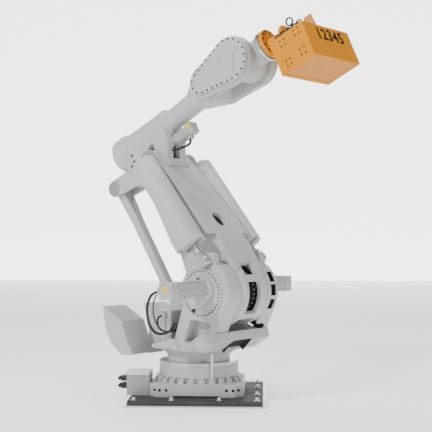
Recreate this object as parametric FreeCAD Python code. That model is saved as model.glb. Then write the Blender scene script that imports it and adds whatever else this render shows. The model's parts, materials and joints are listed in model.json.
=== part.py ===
import FreeCAD, Part

# Heavy six-axis industrial robot arm holding a steel test weight, on its floor plate.
#
# Row frame, millimetres: +X along the long side of the base casting, +Z up, and the
# origin on the turning axis of the turret at the underside of the floor plates.
# Everything above the base is drawn in an arm frame (x forward, y to the left, z up)
# whose pitch joints all turn about y, and is then turned about Z by TURRET_YAW.
import math
import os
from FreeCAD import Placement, Rotation, Vector

# ---- driving dimensions (mm, degrees) ------------------------------------------------
LEVELLING_THICKNESS = 15.0
LEVELLING_SIDE = 1400.0
FLOOR_THICKNESS = 45.0
FLOOR_SIDE = 1360.0
FLOOR_BOLT_SPACING = 1240.0
FLOOR_BOLT_RADIUS = 14.0
BASE_LENGTH = 975.0
BASE_WIDTH = 890.0
BASE_RIM_HEIGHT = 130.0
BASE_FOOT_LENGTH = 250.0
BASE_GAP_HEIGHT = 14.0
DRUM_RADIUS = 440.0
DRUM_TOP = 372.0
RIB_COUNT = 26
SLEW_RADIUS = 415.0
SLEW_TOP = 398.0
TURRET_FOOT_RADIUS = 330.0
TURRET_YAW = -37.0
SKIRT_Z = 530.0
SHOULDER_X = 425.0
SHOULDER_Z = 1135.0
SLEW_MOTOR_X = -140.0
SLEW_MOTOR_Y = -300.0
SLEW_SEAT_Z = 575.0
CHEEK_INNER = 225.0
CHEEK_OUTER = 430.0
BOSS_RADIUS = 320.0
COVER_RADIUS = 250.0
COVER_THICKNESS = 26.0
NEAR_MOTOR_LENGTH = 520.0
FAR_MOTOR_LENGTH = 400.0
SHAFT_RADIUS = 60.0
LOWER_ARM_LENGTH = 1590.0
LOWER_ARM_LEAN = 33.0
HUB_RADIUS = 350.0
HUB_HALF_WIDTH = 215.0
HUB_WALL = 85.0
ARM_HALF_WIDTH = 305.0
ARM_WALL = 45.0
LINK_BACK = 695.0
LINK_DROP = 240.0
ROD_HALF = 48.0
YOKE_HALF = 76.0
PIN_RADIUS = 34.0
ROD_PIN_RADIUS = 52.0
ELBOW_SHAFT_RADIUS = 92.0
BALANCER_Y = 457.0
BALANCER_RADIUS = 130.0
BALANCER_LENGTH = 1100.0
BALANCER_START = 208.0
BALANCER_TOP_PIN = 1180.0
BALANCER_LEAN = 39.7
BALANCER_EYE_X = 465.0
BALANCER_EYE_Z = 1459.0
PISTON_RADIUS = 24.0
UPPER_ARM_PITCH = 28.0
TUBE_OFFSET = 400.0
WRIST_REACH = 1411.0
REAR_TUBE_RADIUS = 158.0
REAR_BARREL_RADIUS = 212.0
FRONT_TUBE_RADIUS = 117.0
SEAM_REACH = 250.0
WRIST_RADIUS = 240.0
WRIST_INNER = 146.0
WRIST_OUTER = 250.0
WRIST_TAIL = 430.0
TOOL_PITCH = 25.0
FLANGE_REACH = 290.0
FLANGE_RADIUS = 158.0
WEIGHT_LENGTH = 370.0
WEIGHT_HEIGHT = 358.0
WEIGHT_WIDTH = 790.0
WEIGHT_REACH = 620.0
WEIGHT_TOP = -196.0
WEIGHT_PLATE = 25.0
RUNNING_GAP = 0.3
CORD_TRIM = 0.45
CABLE_RADIUS = 13.0
THIN_CABLE_RADIUS = 7.0
CLEARANCE = 8.0

PLATE_TOP = LEVELLING_THICKNESS + FLOOR_THICKNESS
os.makedirs("parts", exist_ok=True)


# ---- drawing helpers -----------------------------------------------------------------
def box(x0, x1, y0, y1, z0, z1):
    return Part.makeBox(x1 - x0, y1 - y0, z1 - z0, Vector(x0, y0, z0))


def both_sides(maker):
    """Makes one solid on each side of the arm: maker is called with -1 and 1."""
    return [maker(side) for side in (-1, 1)]


def span(side, inner, outer):
    """Low and high y of a piece between two distances from the middle plane."""
    return (inner, outer) if side > 0 else (-outer, -inner)


def disc(x, z, radius, y0, y1):
    return Part.makeCylinder(radius, y1 - y0, Vector(x, y0, z), Vector(0, 1, 0))


def rod(start, end, radius):
    way = Vector(*end) - Vector(*start)
    return Part.makeCylinder(radius, way.Length, Vector(*start), way)


def dished(x, z, radius, y0, y1, chamfer, side):
    """A disc across y whose outer face, on the side given, is chamfered."""
    if side > 0:
        body = disc(x, z, radius, y0, y1 - chamfer)
        tip = Part.makeCone(radius, radius - chamfer, chamfer, Vector(x, y1 - chamfer, z), Vector(0, 1, 0))
    else:
        body = disc(x, z, radius, y0 + chamfer, y1)
        tip = Part.makeCone(radius, radius - chamfer, chamfer, Vector(x, y0 + chamfer, z), Vector(0, -1, 0))
    return body.fuse(tip).removeSplitter()


def prism(points, y0, y1):
    """Outline in the x-z plane pushed from y0 to y1."""
    corners = [Vector(x, y0, z) for x, z in points]
    face = Part.Face(Part.makePolygon(corners + corners[:1]))
    return face.extrude(Vector(0, y1 - y0, 0))


def side_prism(points, x0, x1):
    """Outline in the y-z plane pushed from x0 to x1."""
    corners = [Vector(x0, y, z) for y, z in points]
    face = Part.Face(Part.makePolygon(corners + corners[:1]))
    return face.extrude(Vector(x1 - x0, 0, 0))


def flat_prism(points, z0, z1):
    """Outline in the x-y plane pushed from z0 to z1."""
    corners = [Vector(x, y, z0) for x, y in points]
    face = Part.Face(Part.makePolygon(corners + corners[:1]))
    return face.extrude(Vector(0, 0, z1 - z0))


def link_wire(a, b, y, shrink=0.0):
    """Belt outline round two circles (x, z, radius) of the x-z plane."""
    ra, rb = a[2] - shrink, b[2] - shrink
    heading = math.atan2(b[1] - a[1], b[0] - a[0])
    spread = math.acos((ra - rb) / math.hypot(b[0] - a[0], b[1] - a[1]))

    def on(circle, radius, angle):
        return Vector(circle[0] + radius * math.cos(angle), y, circle[1] + radius * math.sin(angle))

    a1, a2 = on(a, ra, heading + spread), on(a, ra, heading - spread)
    b1, b2 = on(b, rb, heading + spread), on(b, rb, heading - spread)
    edges = [
        Part.LineSegment(a1, b1).toShape(),
        Part.Arc(b1, on(b, rb, heading), b2).toShape(),
        Part.LineSegment(b2, a2).toShape(),
        Part.Arc(a2, on(a, ra, heading + math.pi), a1).toShape(),
    ]
    return Part.Wire(edges)


def link(a, b, y0, y1):
    """A bar with round ends: the belt outline of two circles, pushed from y0 to y1."""
    return Part.Face(link_wire(a, b, y0)).extrude(Vector(0, y1 - y0, 0))


def chamfered_link(a, b, side, inner, outer, chamfer):
    """A link whose outer face, away from the middle plane, is chamfered."""
    y0, y1 = span(side, inner, outer - chamfer)
    body = link(a, b, y0, y1)
    rim = Part.makeLoft(
        [link_wire(a, b, side * (outer - chamfer)), link_wire(a, b, side * outer, chamfer)], True, True
    )
    return body.fuse(rim).removeSplitter()


def turned(shape, pitch, x, z):
    """Tips a piece nose-up by pitch about y, then puts its origin at (x, z)."""
    moved = shape.copy()
    turn = Placement(Vector(x, 0, z), Rotation(Vector(0, 1, 0), -pitch))
    moved.Placement = turn.multiply(moved.Placement)
    return moved


def cord(path, radius):
    """A round cable along straight runs, its corners eased by arcs tangent to both runs."""
    points = [Vector(*point) for point in path]
    edges = []
    start = points[0]
    for before, corner, after in zip(points, points[1:], points[2:]):
        into, out = corner - before, after - corner
        half_turn = into.getAngle(out) / 2
        trim = CORD_TRIM * min(into.Length, out.Length)
        bend = trim / math.tan(half_turn)
        into.normalize()
        out.normalize()
        inward = (out - into).normalize()
        first, last = corner - into * trim, corner + out * trim
        middle = corner + inward * (bend / math.cos(half_turn) - bend)
        edges.append(Part.LineSegment(start, first).toShape())
        edges.append(Part.Arc(first, middle, last).toShape())
        start = last
    edges.append(Part.LineSegment(start, points[-1]).toShape())
    ring = Part.Wire([Part.makeCircle(radius, points[0], points[1] - points[0])])
    return Part.Wire(edges).makePipeShell([ring], True, True)


def save(name, shape):
    shape.exportStep(os.path.join("parts", name + ".step"))


def save_arm(name, shape):
    """Stores a piece drawn in the arm frame, turned to the turret's heading."""
    moved = shape.copy()
    turn = Placement(Vector(0, 0, 0), Rotation(Vector(0, 0, 1), TURRET_YAW))
    moved.Placement = turn.multiply(moved.Placement)
    save(name, moved)


# ---- where the joints lie in the arm frame -------------------------------------------
def along(start, angle, length):
    """Point reached from start by going length at angle above the x axis."""
    return (
        start[0] + length * math.cos(math.radians(angle)),
        start[1] + length * math.sin(math.radians(angle)),
    )


SHOULDER = (SHOULDER_X, SHOULDER_Z)
ELBOW = along(SHOULDER, 90.0 + LOWER_ARM_LEAN, LOWER_ARM_LENGTH)
ROD_TOP = (ELBOW[0] - LINK_BACK, ELBOW[1] - LINK_DROP)
ROD_BOTTOM = (SHOULDER[0] - LINK_BACK, SHOULDER[1] - LINK_DROP)
TUBE_START = along(ELBOW, 90.0 + UPPER_ARM_PITCH, TUBE_OFFSET)
WRIST = along(TUBE_START, UPPER_ARM_PITCH, WRIST_REACH)
EYE = (BALANCER_EYE_X, BALANCER_EYE_Z)
BALANCER_HEADING = 90.0 + BALANCER_LEAN
BALANCER_TOP = along(EYE, BALANCER_HEADING, BALANCER_TOP_PIN)


def in_lower_arm(x, z):
    """Arm-frame point as (forward, along) of the lower arm, measured from the shoulder."""
    lean = math.radians(LOWER_ARM_LEAN)
    dx, dz = x - SHOULDER[0], z - SHOULDER[1]
    return dx * math.cos(lean) + dz * math.sin(lean), -dx * math.sin(lean) + dz * math.cos(lean)


def in_upper_arm(x, z):
    """Arm-frame point as (reach, height) of the upper arm, measured from the elbow."""
    pitch = math.radians(UPPER_ARM_PITCH)
    dx, dz = x - ELBOW[0], z - ELBOW[1]
    return dx * math.cos(pitch) + dz * math.sin(pitch), -dx * math.sin(pitch) + dz * math.cos(pitch)


# ---- floor plates and base -----------------------------------------------------------
def floor_bolt_holes(z0, z1):
    reach = FLOOR_BOLT_SPACING / 2
    places = [(x, y) for x in (-reach, reach) for y in (-reach, reach)]
    return [Part.makeCylinder(FLOOR_BOLT_RADIUS, z1 - z0, Vector(x, y, z0)) for x, y in places]


def square_plate(side, z0, z1):
    plate = box(-side / 2, side / 2, -side / 2, side / 2, z0, z1)
    return plate.cut(floor_bolt_holes(z0 - 1, z1 + 1))


def base_casting():
    half_length, half_width = BASE_LENGTH / 2, BASE_WIDTH / 2
    corner = 95.0
    outline = [
        (-half_length, -half_width + corner), (-half_length + corner, -half_width),
        (half_length - corner, -half_width), (half_length, -half_width + corner),
        (half_length, half_width - corner), (half_length - corner, half_width),
        (-half_length + corner, half_width), (-half_length, half_width - corner),
    ]
    rim_top = PLATE_TOP + BASE_RIM_HEIGHT
    body = flat_prism(outline, PLATE_TOP, rim_top)
    inner = half_length - BASE_FOOT_LENGTH
    gap = box(-inner, inner, -half_width - 1, half_width + 1, PLATE_TOP - 1, PLATE_TOP + BASE_GAP_HEIGHT)
    body = body.cut(gap)
    body = body.fuse(Part.makeCone(DRUM_RADIUS + 22, DRUM_RADIUS + 12, 48, Vector(0, 0, rim_top)).common(
        box(-half_length, half_length, -half_width, half_width, rim_top, rim_top + 48)))
    drum = Part.makeCone(DRUM_RADIUS - 14, SLEW_RADIUS, DRUM_TOP - rim_top - 40, Vector(0, 0, rim_top + 40))
    body = body.fuse(drum.common(box(-half_length, half_length, -half_width, half_width, 0, DRUM_TOP)))
    body = body.fuse(Part.makeCylinder(SLEW_RADIUS - 12, DRUM_TOP - rim_top, Vector(0, 0, rim_top)))
    return body.cut(foot_windows(half_width) + rib_pockets(rim_top))


def foot_windows(half_width):
    """Three square pockets in each foot, on both long sides."""
    size, depth = 26.0, 40.0
    z0 = PLATE_TOP + 58.0
    cuts = []
    for x in (-430, -376, -308, 308, 376, 430):
        near_corner = max(0.0, abs(x) + size / 2 - (BASE_LENGTH / 2 - 95.0))
        for side in (-1, 1):
            y0, y1 = span(side, half_width - near_corner - depth, half_width + 1)
            cuts.append(box(x - size / 2, x + size / 2, y0, y1, z0, z0 + size))
    return cuts


def rib_pockets(rim_top):
    """Shallow pockets between the ribs that stand round the foot of the drum."""
    cuts = []
    for index in range(RIB_COUNT):
        pocket = box(DRUM_RADIUS - 34, DRUM_RADIUS + 60, -26, 26, rim_top + 6, rim_top + 60)
        cuts.append(pocket.rotate(Vector(0, 0, 0), Vector(0, 0, 1), 360.0 * (index + 0.5) / RIB_COUNT))
    return cuts


def slew_ring():
    ring = Part.makeCylinder(SLEW_RADIUS - 4, SLEW_TOP - DRUM_TOP - RUNNING_GAP, Vector(0, 0, DRUM_TOP))
    lip = Part.makeCylinder(SLEW_RADIUS + 4, 8, Vector(0, 0, DRUM_TOP + 4))
    return ring.fuse(lip)


def connection_box():
    """Cable box at the rear end of the base, standing on the floor plate."""
    x1 = -BASE_LENGTH / 2 - 6
    shell = box(x1 - 235, x1, -330, 10, PLATE_TOP, PLATE_TOP + 212)
    return shell


def connection_box_lid():
    x1 = -BASE_LENGTH / 2 - 6
    lid = box(x1 - 250, x1 - 2, -342, 22, PLATE_TOP + 212, PLATE_TOP + 232)
    return lid


def cable_connectors():
    """Plug sockets on the rear face of the cable box, two rows high."""
    face = -BASE_LENGTH / 2 - 6 - 235
    plugs = []
    for y, z in ((-270, 168), (-180, 168), (-270, 92), (-180, 92)):
        body = box(face - 62, face, y - 30, y + 30, PLATE_TOP + z - 24, PLATE_TOP + z + 24)
        body = body.fuse(rod((face - 96, y, PLATE_TOP + z), (face - 62, y, PLATE_TOP + z), 17))
        plugs.append(body)
    return Part.makeCompound(plugs)


def travel_stop_post():
    """Upright stop post on the rim of the base, just outside the drum."""
    angle = math.radians(-5 * 360.0 / RIB_COUNT)
    reach = DRUM_RADIUS + 4
    x, y = reach * math.cos(angle), reach * math.sin(angle)
    z0 = PLATE_TOP + BASE_RIM_HEIGHT + 48
    post = Part.makeCylinder(15, 500 - z0, Vector(x, y, z0))
    return post.fuse(Part.makeCylinder(22, 12, Vector(x, y, z0 + 90)))


# ---- turret --------------------------------------------------------------------------
def cheek(side):
    """Upright side of the turret that carries one end of the shoulder."""
    x, z = SHOULDER
    inner, outer = CHEEK_INNER, CHEEK_OUTER
    y0, y1 = span(side, inner, outer)
    web = prism(
        [(0, SKIRT_Z), (240, SKIRT_Z), (550, 690), (705, 1010), (x + 230, z + 60), (x - 230, z + 60),
         (150, 985)],
        y0, y1,
    )
    ring = dished(x, z, BOSS_RADIUS, y0, y1, 28, side)
    y0, y1 = span(side, 335, 414)
    ear = prism([(EYE[0] - 60, EYE[1] - 160), (EYE[0] - 60, EYE[1] + 62), (EYE[0] - 38, EYE[1] + 84),
                 (EYE[0] + 62, EYE[1] + 84), (EYE[0] + 84, EYE[1] + 62), (EYE[0] + 110, EYE[1] - 190)],
                 y0, y1)
    return web.fuse([ring, ear])


def cheek_pocket(side):
    """Triangular relief low in the outer face of a cheek."""
    y0, y1 = span(side, CHEEK_OUTER - 125, CHEEK_OUTER + 1)
    return prism([(165, 640), (215, 612), (520, 790), (512, 846), (255, 862)], y0, y1)


def inner_pocket():
    """Deep relief in the inner face of the far cheek, in front of the shoulder."""
    return prism([(385, 868), (560, 868), (612, 765), (560, 705), (400, 790)], CHEEK_INNER - 1,
                 CHEEK_INNER + 120)


def front_slots():
    """Three slots in the front rim of the far cheek."""
    cuts = []
    for angle in (28, 2, -26):
        cut = box(BOSS_RADIUS - 75, BOSS_RADIUS + 60, CHEEK_INNER + 60, CHEEK_OUTER - 60, -58, 58)
        cut = cut.rotate(Vector(0, 0, 0), Vector(0, 1, 0), -angle)
        cuts.append(cut.translate(Vector(SHOULDER[0], 0, SHOULDER[1])))
    return cuts


def turret_deck():
    """Foot and skirt of the turret, from the slewing ring up to the cheeks."""
    foot = Part.makeCylinder(TURRET_FOOT_RADIUS, 60, Vector(0, 0, SLEW_TOP))
    flare = Part.makeCone(TURRET_FOOT_RADIUS, 425, SKIRT_Z - SLEW_TOP - 60, Vector(0, 0, SLEW_TOP + 60))
    side_view = [(-300, SKIRT_Z), (-300, 570), (-40, 640), (380, 705), (590, 740), (612, 650),
                 (440, SKIRT_Z)]
    front_view = [(-CHEEK_OUTER + 30, SKIRT_Z), (-CHEEK_OUTER, 590), (-CHEEK_OUTER, 760),
                  (CHEEK_OUTER, 760), (CHEEK_OUTER, 590), (CHEEK_OUTER - 30, SKIRT_Z)]
    block = prism(side_view, -CHEEK_OUTER, CHEEK_OUTER).common(side_prism(front_view, -400, 700))
    window = prism([(470, 500), (640, 618), (590, 672), (430, 562)], -170, 150)
    skirt = foot.fuse([flare, block])
    return skirt.cut(window)


def turret_casting():
    body = turret_deck().fuse(both_sides(cheek))
    x, z = SHOULDER
    cuts = both_sides(cheek_pocket) + front_slots() + [inner_pocket()]
    cuts.append(disc(x, z, SHAFT_RADIUS, -CHEEK_OUTER + 100, CHEEK_OUTER - 100))
    cuts.append(disc(EYE[0], EYE[1], PIN_RADIUS, -CHEEK_OUTER, CHEEK_OUTER))
    cuts += both_sides(lambda side: disc(EYE[0], EYE[1], 64, *span(side, 414, CHEEK_OUTER + 1)))
    cuts.append(Part.makeCylinder(114, 200, Vector(SLEW_MOTOR_X, SLEW_MOTOR_Y, SLEW_SEAT_Z)))
    return body.cut(cuts).removeSplitter()


def shoulder_shaft():
    reach = CHEEK_OUTER - 100
    return disc(SHOULDER[0], SHOULDER[1], SHAFT_RADIUS, -reach, reach)


def gear_cover(side):
    y0, y1 = span(side, CHEEK_OUTER, CHEEK_OUTER + COVER_THICKNESS)
    x, z = SHOULDER
    return dished(x, z, COVER_RADIUS, y0, y1, 10, side)


def motor_housing(side):
    """Oval gear housing that carries a shoulder motor on the gear cover."""
    x, z = SHOULDER
    inner = CHEEK_OUTER + COVER_THICKNESS
    low, high = (x - 40, z - 62, 95.0), (x + 42, z + 46, 118.0)
    return chamfered_link(low, high, side, inner, inner + 62, 16)


def shoulder_motor(side):
    """Square servo motor pointing straight out from its gear housing; the near one is longer."""
    x, z = SHOULDER[0] + 42, SHOULDER[1] + 46
    length = FAR_MOTOR_LENGTH if side > 0 else NEAR_MOTOR_LENGTH
    inner = CHEEK_OUTER + COVER_THICKNESS + 62
    flange = disc(x, z, 98, *span(side, inner, inner + 26))
    body = box(x - 74, x + 74, *span(side, inner + 26, inner + length - 110), z - 74, z + 74)
    brake = box(x - 82, x + 82, *span(side, inner + length - 110, inner + length), z - 82, z + 82)
    socket = box(x - 132, x - 82, *span(side, inner + length - 104, inner + length - 30), z - 34, z + 34)
    return flange.fuse([body, brake, socket])


def slew_motor():
    """Upright motor that turns the turret, in a round seat behind the near cheek."""
    x, y = SLEW_MOTOR_X, SLEW_MOTOR_Y
    z0 = SLEW_SEAT_Z
    foot = Part.makeCylinder(112, 30, Vector(x, y, z0))
    body = box(x - 80, x + 80, y - 80, y + 80, z0 + 30, z0 + 255)
    brake = box(x - 88, x + 88, y - 88, y + 88, z0 + 255, z0 + 355)
    socket = box(x - 40, x + 40, y - 138, y - 88, z0 + 265, z0 + 335)
    return foot.fuse([body, brake, socket])


def balancer_pin(side):
    """Pin through the cheek's ear and the balancer's eye, with a round head outside."""
    y0, y1 = span(side, 335, BALANCER_Y + 46)
    pin = disc(EYE[0], EYE[1], PIN_RADIUS - RUNNING_GAP, y0, y1)
    head = dished(EYE[0], EYE[1], 54, *span(side, BALANCER_Y + 31, BALANCER_Y + 46), 5, side)
    collar = disc(EYE[0], EYE[1], 62, *span(side, 414, CHEEK_OUTER))
    return pin.fuse([head, collar])


def rear_face(y, z, lift):
    """Point over the slanted rear face of a cheek: lift is its distance from the face."""
    rise, run = 985.0 - SKIRT_Z, 150.0
    slope = math.hypot(rise, run)
    return ((z - SKIRT_Z) * run / rise - lift * rise / slope, y, z + lift * run / slope)


def motor_cables():
    """Two cables of the near shoulder motor and one of the slew motor, into the near cheek."""
    x = SHOULDER[0] - 90
    y, z = -CHEEK_OUTER - COVER_THICKNESS - 62 - NEAR_MOTOR_LENGTH + 67, SHOULDER[1] + 35
    main = [(x, y, z), (x - 120, y, z), (x - 205, y + 12, z - 215), (x - 150, y + 75, z - 440),
            rear_face(-415, 692, 75),
            rear_face(-415, 800, 75), rear_face(-415, 800, 0)]
    thin = [(x, y + 24, z - 14), (x - 85, y + 24, z - 14), (x - 150, y + 45, z - 215),
            (x - 120, y + 130, z - 400),
            rear_face(-380, 700, 60),
            rear_face(-380, 770, 60), rear_face(-380, 770, 0)]
    x, y, z = SLEW_MOTOR_X, SLEW_MOTOR_Y - 138, SLEW_SEAT_Z + 300
    slew = [(x, y, z), (x, y - 67, z), (x + 20, y - 67, z - 150), rear_face(-345, 690, 60),
            rear_face(-345, 755, 60), rear_face(-345, 755, 0)]
    return Part.makeCompound([cord(main, CABLE_RADIUS), cord(thin, THIN_CABLE_RADIUS),
                              cord(slew, CABLE_RADIUS - 3)])


def save_base():
    save("levelling_plate", square_plate(LEVELLING_SIDE, 0, LEVELLING_THICKNESS))
    save("floor_plate", square_plate(FLOOR_SIDE, LEVELLING_THICKNESS, PLATE_TOP))
    save("base_casting", base_casting())
    save("slew_ring", slew_ring())
    save("connection_box", connection_box())
    save("connection_box_lid", connection_box_lid())
    save("cable_connectors", cable_connectors())
    save("travel_stop_post", travel_stop_post())


def save_turret():
    save_arm("turret_casting", turret_casting())
    save_arm("shoulder_shaft", shoulder_shaft())
    save_arm("slew_motor", slew_motor())
    save_arm("gear_covers", Part.makeCompound(both_sides(gear_cover)))
    save_arm("motor_housings", Part.makeCompound(both_sides(motor_housing)))
    save_arm("shoulder_motors", Part.makeCompound(both_sides(shoulder_motor)))
    save_arm("balancer_pins", Part.makeCompound(both_sides(balancer_pin)))
    save_arm("motor_cables", motor_cables())


# ---- lower arm: x is its forward normal, z runs from the shoulder to the elbow ----------
NOTCH_HALF = 165.0
WIDE_START = 600.0
NOTCH_RADIUS = 170.0


def arm_walls():
    """Side walls of the channel section, wide above the cheeks and narrow between them."""
    top = LOWER_ARM_LENGTH
    outline = [(-150, 300), (-190, 700), (-150, top - 40), (-100, top + 110), (60, top + 145),
               (95, top + 20),
               (118, top - 50), (288, 705), (338, 360), (250, 200)]
    pieces = []
    for side in (-1, 1):
        pieces.append(prism(outline, *span(side, NOTCH_HALF, ARM_HALF_WIDTH)))
    wide = pieces[0].fuse(pieces[1])
    wide = wide.cut(disc(0, 0, WIDE_START, -ARM_HALF_WIDTH - 1, ARM_HALF_WIDTH + 1))
    narrow = []
    for side in (-1, 1):
        y0, y1 = span(side, HUB_HALF_WIDTH - HUB_WALL, HUB_HALF_WIDTH)
        hub = dished(0, 0, HUB_RADIUS, y0, y1, 40, side)
        neck = prism([(-320, 60), (-190, 690), (291, 690), (338, 360), (345, 60)], y0, y1)
        narrow += [hub, neck]
    return wide.fuse(narrow)


def front_wall():
    """Front wall of the channel, from the hub's curve up to the notch for the elbow."""
    top = LOWER_ARM_LENGTH
    outer = [(118, top - 50), (288, 705), (338, 360), (338, 200)]
    inner = [(338 - ARM_WALL - 10, 200), (338 - ARM_WALL - 10, 350), (288 - ARM_WALL, 700),
             (118 - ARM_WALL, top - 60)]
    wide = prism(outer + inner, -ARM_HALF_WIDTH, ARM_HALF_WIDTH)
    wide = wide.cut(disc(0, 0, WIDE_START, -ARM_HALF_WIDTH - 1, ARM_HALF_WIDTH + 1))
    narrow = prism([(291, 690), (338, 360), (345, 60), (295, 60), (290, 360), (246, 690)],
                   -HUB_HALF_WIDTH, HUB_HALF_WIDTH)
    return wide.fuse(narrow)


def hub_shell():
    """Curved front of the hub, from the front wall round underneath the shoulder."""
    y0, y1 = -HUB_HALF_WIDTH + 42, HUB_HALF_WIDTH - 42
    ring = disc(0, 0, HUB_RADIUS, y0, y1).cut(disc(0, 0, HUB_RADIUS - 42, y0 - 1, y1 + 1))
    keep = prism([(0, 0), (500, 160), (500, -500), (44, -500)], y0 - 1, y1 + 1)
    return ring.common(keep)


def hub_window():
    """Window through the hub's curved front, over the gear ring."""
    reach = HUB_RADIUS + 60
    points = [(200 * math.cos(math.radians(a)), 200 * math.sin(math.radians(a))) for a in (24, -72)]
    points += [(reach * math.cos(math.radians(a)), reach * math.sin(math.radians(a))) for a in (-72,
                                                                                                -40, 24)]
    return prism(points, -122, 60)


def front_hole():
    """Long oval hole in the front wall."""
    radius, low, high = 80.0, 690.0, 720.0
    holes = [Part.makeCylinder(radius, 260, Vector(180, 0, z), Vector(1, 0, 0)) for z in (low, high)]
    return holes[0].fuse([holes[1], box(180, 440, -radius, radius, low, high)])


def lower_arm_casting():
    top = LOWER_ARM_LENGTH
    body = arm_walls().fuse([front_wall(), hub_shell()])
    notch = disc(0, top, NOTCH_RADIUS, -NOTCH_HALF, NOTCH_HALF)
    cuts = [notch, box(-400, 400, -NOTCH_HALF, NOTCH_HALF, top, top + 300), hub_window(), front_hole()]
    cuts.append(disc(0, 0, SHAFT_RADIUS + RUNNING_GAP, -ARM_HALF_WIDTH - 1, ARM_HALF_WIDTH + 1))
    cuts.append(disc(0, top, ELBOW_SHAFT_RADIUS + RUNNING_GAP, -ARM_HALF_WIDTH - 1, ARM_HALF_WIDTH + 1))
    return body.cut(cuts).removeSplitter()


def hub_gear_rings():
    """Dark bolted gear rings on the inner faces of the hub's side walls."""
    def ring(side):
        y0, y1 = span(side, HUB_HALF_WIDTH - HUB_WALL - 26, HUB_HALF_WIDTH - HUB_WALL)
        return disc(0, 0, 262, y0, y1).cut(disc(0, 0, 90, y0 - 1, y1 + 1))
    return Part.makeCompound(both_sides(ring))


def hub_bearings():
    """Thin bearing flanges between the hub and the cheeks."""
    def flange(side):
        y0, y1 = span(side, HUB_HALF_WIDTH, CHEEK_INNER - RUNNING_GAP)
        return disc(0, 0, 225, y0, y1).cut(disc(0, 0, SHAFT_RADIUS + RUNNING_GAP, y0 - 1, y1 + 1))
    return Part.makeCompound(both_sides(flange))


def balancer_top_pins():
    """Pivot pins for the balancers, standing out of the arm's sides near its top."""
    x, z = in_lower_arm(*BALANCER_TOP)

    def pin(side):
        post = disc(x, z, 40, *span(side, ARM_HALF_WIDTH, ARM_HALF_WIDTH + 12))
        return post.fuse(disc(x, z, 28, *span(side, ARM_HALF_WIDTH + 12,
                                              BALANCER_Y - BALANCER_RADIUS + 40)))
    return Part.makeCompound(both_sides(pin))


def save_lower_arm():
    def place(shape):
        return turned(shape, LOWER_ARM_LEAN, *SHOULDER)
    save_arm("lower_arm_casting", place(lower_arm_casting()))
    save_arm("hub_gear_rings", place(hub_gear_rings()))
    save_arm("hub_bearings", place(hub_bearings()))
    save_arm("balancer_top_pins", place(balancer_top_pins()))


# ---- balancers: z runs from the eye on the cheek to the pivot on the arm -----------------
def balancer_tube(side):
    """Gas balancer cylinder, hollow, with a slotted end plate and a pivot socket."""
    y = side * BALANCER_Y
    z0, z1 = BALANCER_START, BALANCER_START + BALANCER_LENGTH
    outer = Part.makeCylinder(BALANCER_RADIUS, BALANCER_LENGTH, Vector(0, y, z0))
    dome = Part.makeCone(BALANCER_RADIUS, BALANCER_RADIUS - 30, 30, Vector(0, y, z1))
    inner = Part.makeCylinder(BALANCER_RADIUS - 16, 520, Vector(0, y, z0 + 26))
    slot = box(-112, 112, y - PISTON_RADIUS - 6, y + PISTON_RADIUS + 6, z0 - 1, z0 + 27)
    y0, y1 = span(side, BALANCER_Y - BALANCER_RADIUS - 2, BALANCER_Y - BALANCER_RADIUS + 40 + RUNNING_GAP)
    socket = disc(0, BALANCER_TOP_PIN, 28 + RUNNING_GAP, y0, y1)
    return outer.fuse(dome).cut([inner, slot, socket])


def balancer_piston(side):
    """Piston rod with its eye, on the pin through the cheek's ear."""
    y = side * BALANCER_Y
    y0, y1 = span(side, CHEEK_OUTER + 5, BALANCER_Y + 30)
    eye = disc(0, 0, 66, y0, y1)
    neck = box(-34, 34, y0, y1, 40, 112)
    bar = Part.makeCylinder(PISTON_RADIUS, 290, Vector(0, y, 100))
    hole = disc(0, 0, PIN_RADIUS, y0 - 1, y1 + 1)
    return eye.fuse([neck, bar]).cut(hole)


def save_balancers():
    for side, place in ((-1, "near"), (1, "far")):
        save_arm(place + "_balancer_tube", turned(balancer_tube(side), BALANCER_LEAN, *EYE))
        save_arm(place + "_balancer_piston", turned(balancer_piston(side), BALANCER_LEAN, *EYE))


# ---- parallelogram: elbow shaft, rod and crank with its counterweight --------------------
LEVER_HALF = 150.0
ELBOW_BOSS_RADIUS = 150.0
CRANK_HALF = 96.0
CLEVIS_HALF = 132.0


def elbow_shaft():
    """Shaft through the ears of the lower arm, with a flat round head outside each ear."""
    shaft = disc(ELBOW[0], ELBOW[1], ELBOW_SHAFT_RADIUS, -ARM_HALF_WIDTH - 1, ARM_HALF_WIDTH + 1)
    heads = both_sides(lambda side: disc(ELBOW[0], ELBOW[1], ELBOW_BOSS_RADIUS - 10,
                                         *span(side, ARM_HALF_WIDTH + RUNNING_GAP, ARM_HALF_WIDTH + 14)))
    return shaft.fuse(heads)


def rod_top_pin():
    """Pin of the rod's yoke, with a round head outside each side of the clevis."""
    pin = disc(ROD_TOP[0], ROD_TOP[1], ROD_PIN_RADIUS - RUNNING_GAP, -CLEVIS_HALF - 1, CLEVIS_HALF + 1)
    heads = both_sides(lambda side: disc(ROD_TOP[0], ROD_TOP[1], ROD_PIN_RADIUS + 26,
                                         *span(side, CLEVIS_HALF + RUNNING_GAP, CLEVIS_HALF + 20)))
    return pin.fuse(heads)


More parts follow.
